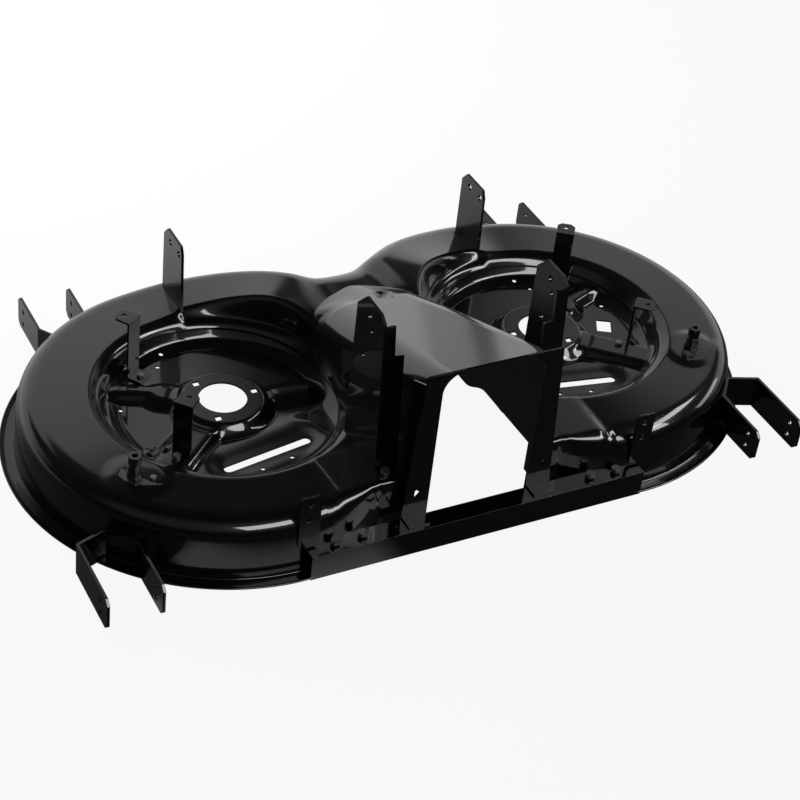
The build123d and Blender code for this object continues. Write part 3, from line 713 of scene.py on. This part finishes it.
# inner edge of the sheet, below the tunnel, from the chute to the tongue
WAY = np.array([
    (-89.0, -250.0), (-86.5, -40.0), (-83.0, 10.0), (-70.0, 56.0), (-46.0, 88.0), (-22.0, 102.0),
])
MIDDLE_LOW, MIDDLE_HIGH = 104.0, VALLEY_Y - VALLEY_BEND - DRAFT


def turn_of(x, y):
    """Direction of a place seen from the left spindle, in degrees."""
    return np.degrees(np.arctan2(y, x + SPINDLE_X))


FIRST_WALL = float(turn_of(CHUTE_X, -CHUTE_EDGE))
ROUND_END = float(turn_of(ROUND_X, -CHUTE_EDGE))
VALLEY_START = float(turn_of(0.0, VALLEY_Y))
MIDDLE_START = float(turn_of(0.0, MIDDLE_LOW))
print("touch", TOUCH, "wall", FIRST_WALL, ROUND_END, "valley", VALLEY_START, MIDDLE_START)

# %% Plan edge of the left half
CENTRE = np.array([-SPINDLE_X, 0.0])


def headings(degrees):
    """Unit vectors in plan: (cos, sin) of each direction."""
    angle = np.radians(degrees)
    return np.stack([np.cos(angle), np.sin(angle)], axis=-1)


def edge_line(turns):
    """Edge point and outward direction for each direction from the spindle: where the ray meets
    the ring, the hollow arc or the straight edge by the chute; also which rays meet the arc."""
    heading = headings(turns)
    ring = CENTRE + SKIRT_R * heading
    reach = heading @ np.array([SPINDLE_X, VALLEY_MID])
    inside = np.maximum(reach**2 - (SPINDLE_X**2 + VALLEY_MID**2 - VALLEY_R**2), 0.0)
    hollow = CENTRE + (reach - np.sqrt(inside))[:, None] * heading
    straight_x = -SPINDLE_X + CHUTE_EDGE * heading[:, 0] / np.maximum(-heading[:, 1], 0.3)
    straight = np.stack([straight_x, np.full(len(turns), -CHUTE_EDGE)], axis=-1)
    at_valley = (turns >= VALLEY_START - 0.01) & (turns < TOUCH)
    at_wall = ((turns >= ROUND_END) & (turns <= FIRST_WALL + 0.01))[:, None]
    edge = np.where(at_valley[:, None], hollow, np.where(at_wall, straight, ring))
    to_middle = (np.array([0.0, VALLEY_MID]) - edge) / VALLEY_R
    plain = np.where(at_wall, np.array([0.0, -1.0]), heading)
    return edge, np.where(at_valley[:, None], to_middle, plain), at_valley


def shoulder(turns, edge, outward, at_valley):
    """Bend width, bend drop and draft along the edge: less by the chute, where the bar takes the
    room, and rounder towards the middle of the hollow arc."""
    by_chute = (turns > CHUTE_TURN) & (turns < 0.0)
    spare = (-edge[:, 1] - BAR_FACE) / np.maximum(-outward[:, 1], 0.2)
    bend = np.where(by_chute, np.clip(spare - DRAFT, LEAST_BEND, BEND), BEND)
    draft = np.where(by_chute, np.clip(spare - LEAST_BEND, 0.0, DRAFT), DRAFT)
    towards = np.clip((TOUCH - turns) / (TOUCH - VALLEY_START), 0.0, 1.0) * at_valley
    rounder = towards**2 * (3.0 - 2.0 * towards)
    bend = bend + (VALLEY_BEND - BEND) * rounder
    drop = np.maximum(bend, LEAST_DROP) + (VALLEY_DROP - VALLEY_BEND) * rounder
    return bend, drop, draft


print("hollow arc radius", VALLEY_R)

# %% Columns of the grid
skirt_turns = np.concatenate([
    np.linspace(VALLEY_START, TOUCH, 28, endpoint=False),
    np.linspace(TOUCH, 360.0 + ROUND_END, 262, endpoint=False),
    np.linspace(360.0 + ROUND_END, 360.0 + FIRST_WALL, 12),
])
way_turns = np.linspace(360.0 + FIRST_WALL, 360.0 + MIDDLE_START, 62, endpoint=False)[1:]
middle_turns = np.linspace(360.0 + MIDDLE_START, 360.0 + VALLEY_START, 14, endpoint=False)
turns = np.concatenate([skirt_turns, way_turns, middle_turns])
wrapped = (turns + 180.0) % 360.0 - 180.0
on_skirt = np.arange(len(turns)) < len(skirt_turns)
on_middle = np.arange(len(turns)) >= len(skirt_turns) + len(way_turns)
edge, outward, at_valley = edge_line(wrapped)
bend, drop, draft = shoulder(wrapped, edge, outward, at_valley)

run = np.linspace(0, 1, 400)[:, None]
way_line = np.concatenate([one + run * (two - one) for one, two in zip(WAY, WAY[1:])])
way_at = turn_of(way_line[:, 0], way_line[:, 1])
ends_skirt = edge - outward * (bend + draft)[:, None]
ends_way = np.stack([np.interp(wrapped, way_at, way_line[:, i]) for i in (0, 1)], axis=-1)
share = (wrapped - MIDDLE_START) / (VALLEY_START - MIDDLE_START)
middle_y = MIDDLE_LOW + share * (MIDDLE_HIGH - MIDDLE_LOW)
ends_middle = np.stack([np.zeros(len(turns)), middle_y], axis=-1)
inner = np.where(on_middle[:, None], ends_middle, ends_way)
ends = np.where(on_skirt[:, None], ends_skirt, inner)
print("columns", len(turns), "on the skirt", len(skirt_turns))

# %% Rows over the top
LEDGE_R, LIP_END, LIP_SHARE = 155.5, 192.0, 0.7
LIP_ROWS, TOP_ROWS = 23, 13

heading = headings(turns)
start = CENTRE + LEDGE_R * heading
far = np.hypot(*(ends - CENTRE).T)
lip = CENTRE + np.minimum(LIP_END, LEDGE_R + LIP_SHARE * (far - LEDGE_R))[:, None] * heading
near_rows = start + np.linspace(0, 1, LIP_ROWS)[:, None, None] * (lip - start)
far_rows = lip + np.linspace(0, 1, TOP_ROWS)[1:, None, None] * (ends - lip)
plan = np.concatenate([near_rows, far_rows])
tops = top_height(plan[..., 0], plan[..., 1])
print("top from", tops.min(), "to", tops.max())

# %% Rows down the skirt and round the rim
FOOT_Z, FOOT_R = 7.0, 4.5
RIM_OUT = np.array([8.0, 11.0, 12.8, 14.4, 15.7, 16.6, 17.0, 17.0])[:, None]
RIM_Z = np.array([2.5, 2.5, 2.7, 3.2, 4.0, 5.0, 6.2, 7.4])[:, None]
# the rim is wider away from the bar, and this share of it comes row by row
RIM_EXTRA, BAR_TURN = 5.0, (-80.0, 36.0)
RIM_SHARE = np.array([0.2, 0.6, 1.0, 1.0, 1.0, 1.0, 1.0, 1.0])[:, None]

every_column = np.zeros(len(turns))
wall_top = tops[-1] - drop
arc = np.radians(np.linspace(0, 90, 9)[1:])[:, None]
down = np.linspace(0, 1, 6)[1:, None]
foot = np.radians(np.linspace(0, 90, 5)[1:])[:, None]
by_bar = past(wrapped, BAR_TURN) * (wrapped < 0.0)
out = np.concatenate([
    (np.sin(arc) - 1.0) * bend - draft,
    (down - 1.0) * draft,
    FOOT_R * (1.0 - np.cos(foot)) + every_column,
    RIM_OUT + RIM_EXTRA * (1.0 - by_bar) * RIM_SHARE,
])
fall = np.concatenate([
    tops[-1] - drop * (1.0 - np.cos(arc)),
    wall_top + down * (FOOT_Z - wall_top),
    FOOT_Z - FOOT_R * np.sin(foot) + every_column,
    RIM_Z + every_column,
])
hanging = edge + out[..., None] * outward
print("rim reaches", out.max(), "mm past the skirt")

# %% Outer sheet
MIRROR = np.array([-1.0, 1.0, 1.0])

rows = np.concatenate([plan, hanging])
heights = np.concatenate([tops, fall])
left_half = np.concatenate([rows, heights[..., None]], axis=-1).reshape(-1, 3)
faces = grid_faces(len(rows), len(turns), True)
row_of, column_of = faces // len(turns), faces % len(turns)
no_skirt = (row_of >= len(plan)) & ~on_skirt[column_of]
faces = faces[~no_skirt.any(axis=1)]
both = np.concatenate([left_half, left_half * MIRROR])
both_faces = np.concatenate([faces, (faces + len(left_half))[:, ::-1]])
shell = piece("shell_outer", to_frame(*both.T), both_faces, "pressing_paint")
tidy(shell)
thicken(shell)
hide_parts("deck_shell")
print("outer sheet faces", len(shell.data.polygons))

# %% [markdown]
# ## Holes
# The holes are real: the white floor shows through them. Each is an outline in plan that is
# carried through the sheet as a prism and cut out of it.

# %% Outlines in plan


def turned_outline(x, y, at, turn_degrees):
    """Outline points turned about their middle and moved to a place: a plane rotation."""
    turned = math.radians(turn_degrees)
    return np.column_stack([
        at[0] + x * math.cos(turned) - y * math.sin(turned),
        at[1] + x * math.sin(turned) + y * math.cos(turned),
    ])


def round_outline(at, radius, count=28):
    """Circle in plan."""
    angle = np.linspace(0, 2 * np.pi, count, endpoint=False)
    return np.column_stack([at[0] + radius * np.cos(angle), at[1] + radius * np.sin(angle)])


def box_outline(at, width, length, turn_degrees):
    """Turned rectangle in plan."""
    x = np.array([0.5, -0.5, -0.5, 0.5]) * width
    y = np.array([0.5, 0.5, -0.5, -0.5]) * length
    return turned_outline(x, y, at, turn_degrees)


def slot_outline(at, turn_degrees, length, width):
    """Rounded slot in plan: two half circles joined."""
    angle = np.linspace(-np.pi / 2, np.pi / 2, 12)
    half = (length - width) / 2
    x = np.concatenate([half + width / 2 * np.cos(angle), -half - width / 2 * np.cos(angle)])
    y = np.concatenate([width / 2 * np.sin(angle), -width / 2 * np.sin(angle)])
    return turned_outline(x, y, at, turn_degrees)


print("points of a slot", len(slot_outline((0.0, 0.0), 0.0, 132.0, 13.0)))

# %% Holes of a pan
SPINDLE_BOLT_R, SPINDLE_BOLT = 45.0, 9.0
SMALL_HOLE_R = 3.2
SMALL_HOLES = ((-48.0, 112.5), (-34.0, 136.0), (-128.0, 40.0), (43.0, -131.0), (-2.0, -140.0))
SLOT_AT, SLOT_LENGTH, SLOT_WIDTH = (15.5, -115.0), 132.0, 13.0
WINDOW_AT, WINDOW_WIDTH, WINDOW_LENGTH, WINDOW_TURN = (-105.0, -5.5), 21.0, 28.0, 28.0


def pan_outlines(side):
    """Outlines of one pan's holes, in millimetres from the spindle, inward first."""
    bolts = SPINDLE_BOLT_R * headings(np.array([0, 120, 240]))
    outlines = [box_outline(at, SPINDLE_BOLT, SPINDLE_BOLT, 0.0) for at in bolts]
    outlines += [round_outline(at, SMALL_HOLE_R) for at in SMALL_HOLES]
    outlines += [slot_outline(SLOT_AT, SLOT_TURN, SLOT_LENGTH, SLOT_WIDTH)]
    if side > 0:
        outlines += [box_outline(WINDOW_AT, WINDOW_WIDTH, WINDOW_LENGTH, WINDOW_TURN)]
    return outlines


print("holes", len(pan_outlines(-1)), "left and", len(pan_outlines(1)), "right")

# %% Cutting
CUT_LOW, CUT_HIGH = 40.0, 100.0


def prism(outline):
    """Closed prism from an outline in plan: its points at two heights, its sides and two ends."""
    count = len(outline)
    low_ring = np.column_stack([outline, np.full(count, CUT_LOW)])
    high_ring = np.column_stack([outline, np.full(count, CUT_HIGH)])
    index = np.arange(count)
    after = (index + 1) % count
    sides = np.stack([index, after, after + count, index + count], axis=-1).tolist()
    return np.concatenate([low_ring, high_ring]), sides + [list(index[::-1]), list(index + count)]


def cut(thing, outlines, place):
    """Cut prisms with the given outlines out of a piece; place turns plan points into the frame."""
    points, faces = [], []
    for outline in outlines:
        corner, walls = prism(outline)
        faces += [[n + len(points) for n in wall] for wall in walls]
        points += corner.tolist()
    mesh = bpy.data.meshes.new("knife")
    mesh.from_pydata(place(*np.array(points).T).tolist(), [], faces)
    mesh.materials.append(PAINTS["pressing_paint"])
    knife = bpy.data.objects.new("knife", mesh)
    scene.collection.objects.link(knife)
    tidy(knife)
    carve = thing.modifiers.new("holes", "BOOLEAN")
    carve.operation, carve.object, carve.solver = "DIFFERENCE", knife, "EXACT"
    apply_modifiers(thing)
    bpy.data.objects.remove(knife)


print("prisms run from", CUT_LOW, "to", CUT_HIGH)

# %% [markdown]
# ## The pans
# Each pan is the same height function on a ring-shaped grid, from the spindle bore to the
# ledge, with its rows closer where the sheet bends. The sheet gets its thickness first and
# its holes last, so that every hole has a wall.

# %% Pan sheets
BORE_R, PAN_COLUMNS, PAN_SHARP = 32.5, 340, math.radians(50)
# from radius, to radius and rows of each run of the grid
PAN_RUNS = ((BORE_R, 50.0, 6), (50.0, 66.0, 12), (66.0, 140.0, 34))
LEDGE_RUN = (140.0, LEDGE_R, 13)


def pan_place(side):
    """Carries places measured from a spindle, inward first, into the frame; side is -1 or 1."""
    return lambda inward, y, z: to_frame(side * (SPINDLE_X - inward), y, z)


runs = [np.linspace(*run, endpoint=False) for run in PAN_RUNS] + [np.linspace(*LEDGE_RUN)]
radius = np.concatenate(runs)[:, None]
angle = np.linspace(0, 2 * np.pi, PAN_COLUMNS, endpoint=False)[None, :]
inward, y = radius * np.cos(angle), radius * np.sin(angle)
for side, hand in ((-1, "left"), (1, "right")):
    place = pan_place(side)
    points = place(inward, y, pan_height(inward, y))
    pan = piece("pan_" + hand, points, grid_faces(len(radius), PAN_COLUMNS, True), "pressing_paint")
    tidy(pan)
    face_up(pan)
    thicken(pan)
    cut(pan, pan_outlines(side), place)
    pan.data.set_sharp_from_angle(angle=PAN_SHARP)
    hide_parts("deck_shell")
    print("pan", hand, len(pan.data.polygons))

# %% [markdown]
# ## The discharge tunnel
# The tunnel is one folded sheet laid over the saddle: a tongue at the front that grows into
# a box with round shoulders at the rear. Its cross section is a wall, a quarter ellipse, the
# roof and the same back down, and that section is carried along the deck. Towards the tip the
# section melts into a low swell, because the tongue lies flat on the saddle.

# %% Sizes of the tunnel
REAR_Y, TONGUE_START, TONGUE_END = -264.0, 40.0, 134.0
REAR_HALF, FRONT_HALF, TONGUE_BLUNT = 92.0, 85.0, 2.3
ROOF_Z, ROOF_FALL = 267.0, 0.3755
REAR_FOOT, FOOT_DROP = 91.0, 21.0
SUNK, LEAST_ROOF, MOST_WIDE, MOST_TALL = 0.4, 0.9, 0.96, 0.98
FOOT_LOW, FOOT_CLIMB, MELT = (-95.0, 50.0), (52.0, 64.0), (86.0, 72.0)
# width and height of the shoulder's ellipse at the rear, the middle and the tip
SHOULDER_Y = (REAR_Y, -60.0, TONGUE_END)
SHOULDER_WIDE, SHOULDER_TALL = (28.0, 36.0, 58.0), (28.0, 34.0, 46.0)
DIMPLE_DEPTH, DIMPLE = 5.0, ((20.0, 66.0), 80.0, 36.0, 18.0, 10.0)
WALL_STEPS, BEND_STEPS, ROOF_STEPS = 9, 16, 22


def tunnel_half(y):
    """Half width of the tunnel: straight sides that draw in a little, then a blunt round tongue."""
    side = np.interp(y, (REAR_Y, TONGUE_START), (REAR_HALF, FRONT_HALF))
    t = np.clip((y - TONGUE_START) / (TONGUE_END - TONGUE_START), 0.0, 0.9995)
    return side * np.sqrt(1.0 - t**TONGUE_BLUNT)


print("half width at the rear", tunnel_half(REAR_Y))

# %% Section of the tunnel


def tunnel_sheet(stations):
    """Points of the tunnel: at each station along Y a wall, a quarter ellipse and the roof, the
    same mirrored, melted towards foot + (roof - foot) cos^2 at the tip, less a dimple."""
    y = stations[:, None]
    half = tunnel_half(y)
    low = REAR_FOOT - FOOT_DROP * past(y, FOOT_LOW)
    foot = low + (top_height(-half, y) - SUNK - low) * past(y, FOOT_CLIMB)
    roof = np.maximum(ROOF_Z - ROOF_FALL * (y - REAR_Y), foot + LEAST_ROOF)
    wide = np.minimum(np.interp(y, SHOULDER_Y, SHOULDER_WIDE), half * MOST_WIDE)
    tall = np.minimum(np.interp(y, SHOULDER_Y, SHOULDER_TALL), (roof - foot) * MOST_TALL)
    wall = np.linspace(0, 1, WALL_STEPS)[None, :-1]
    angle = np.linspace(0, np.pi / 2, BEND_STEPS)[None, :]
    across = np.linspace(0, 1, ROOF_STEPS)[None, 1:]
    left_x = np.concatenate([
        -half + 0 * wall,
        -half + wide * (1 - np.cos(angle)),
        (wide - half) * (1 - across),
    ], axis=1)
    left_z = np.concatenate([
        foot + wall * (roof - tall - foot),
        roof - tall * (1 - np.sin(angle)),
        roof + 0 * across,
    ], axis=1)
    melted = foot + (roof - foot) * np.cos(np.pi / 2 * left_x / half) ** 2
    left_z = left_z + (melted - left_z) * past(y, MELT)
    x = np.concatenate([left_x, -left_x[:, -2::-1]], axis=1)
    z = np.concatenate([left_z, left_z[:, -2::-1]], axis=1)
    y = y + 0 * x
    return x, y, z - DIMPLE_DEPTH * capsule_mask(x, y, *DIMPLE)


print("points across", 2 * (WALL_STEPS + BEND_STEPS + ROOF_STEPS - 2) - 1)

# %% Tunnel sheet
FRONT_START, REAR_STATIONS, FRONT_STATIONS = 45.0, 84, 46
TUNNEL_SHARP = math.radians(40)

front = 1.0 - np.cos(np.linspace(0, np.pi / 2, FRONT_STATIONS))
stations = np.concatenate([
    np.linspace(REAR_Y, FRONT_START, REAR_STATIONS, endpoint=False),
    TONGUE_END - (TONGUE_END - FRONT_START) * front[::-1],
])
x, y, z = tunnel_sheet(stations)
tunnel_faces = grid_faces(*x.shape, False)[:, ::-1]
tunnel = piece("tunnel", to_frame(x, y, z), tunnel_faces, "pressing_paint")
tidy(tunnel)
face_up(tunnel)
thicken(tunnel)
tunnel.data.set_sharp_from_angle(angle=TUNNEL_SHARP)
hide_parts("chute_tunnel")
print("tunnel faces", len(tunnel.data.polygons))

# %% [markdown]
# ## Brackets and bolts
# The small parts keep the frame's shapes. Real sheet has no razor edges, and it is the worn
# edge of a black bracket that catches the light, so each one is copied, its triangles are
# merged back into flat faces, and a narrow bevel rounds every edge.

# %% Softened copies of the small parts
FASTENER_EDGE, PORT_EDGE, BRACKET_EDGE = 0.0005, 0.0012, 0.0008
FRAME_MERGE, FLAT_ANGLE, EDGE_ANGLE = 0.000004, math.radians(1.0), math.radians(35)
EDGE_STEPS, FLAT_WEIGHT = 2, 90


def edge_width(node):
    """Width of a part's worn edge in metres: fine on fasteners, broad on the moulded ports."""
    if node.endswith(("bolts", "screws")):
        return FASTENER_EDGE
    return PORT_EDGE if node.startswith("wash") else BRACKET_EDGE


def soften(node):
    """Copy a frame part, merge it to flat faces, bevel its edges and let the copy stand for it."""
    source = frame["nodes"][node]
    work = bmesh.new()
    work.from_mesh(source.data)
    bmesh.ops.remove_doubles(work, verts=work.verts, dist=FRAME_MERGE)
    bmesh.ops.dissolve_limit(work, angle_limit=FLAT_ANGLE, verts=work.verts, edges=work.edges)
    mesh = bpy.data.meshes.new(node + "_soft")
    work.to_mesh(mesh)
    work.free()
    mesh.transform(source.matrix_world)
    thing = bpy.data.objects.new(node + "_soft", mesh)
    scene.collection.objects.link(thing)
    slot = next(s["material_slot"] for s in frame["record"]["subparts"] if s["node"] == node)
    mesh.materials.clear()
    mesh.materials.append(PAINTS[slot])
    worn = thing.modifiers.new("edge", "BEVEL")
    worn.width, worn.segments = edge_width(node), EDGE_STEPS
    worn.limit_method, worn.angle_limit = "ANGLE", EDGE_ANGLE
    mesh.polygons.foreach_set("use_smooth", np.full(len(mesh.polygons), True))
    thing.modifiers.new("flats", "WEIGHTED_NORMAL").weight = FLAT_WEIGHT
    apply_modifiers(thing)
    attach(thing, "root")
    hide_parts(node)


small = [n for n in frame["nodes"] if n not in ("deck_shell", "chute_tunnel")]
for node in small:
    soften(node)
print("softened", len(small))

# %% [markdown]
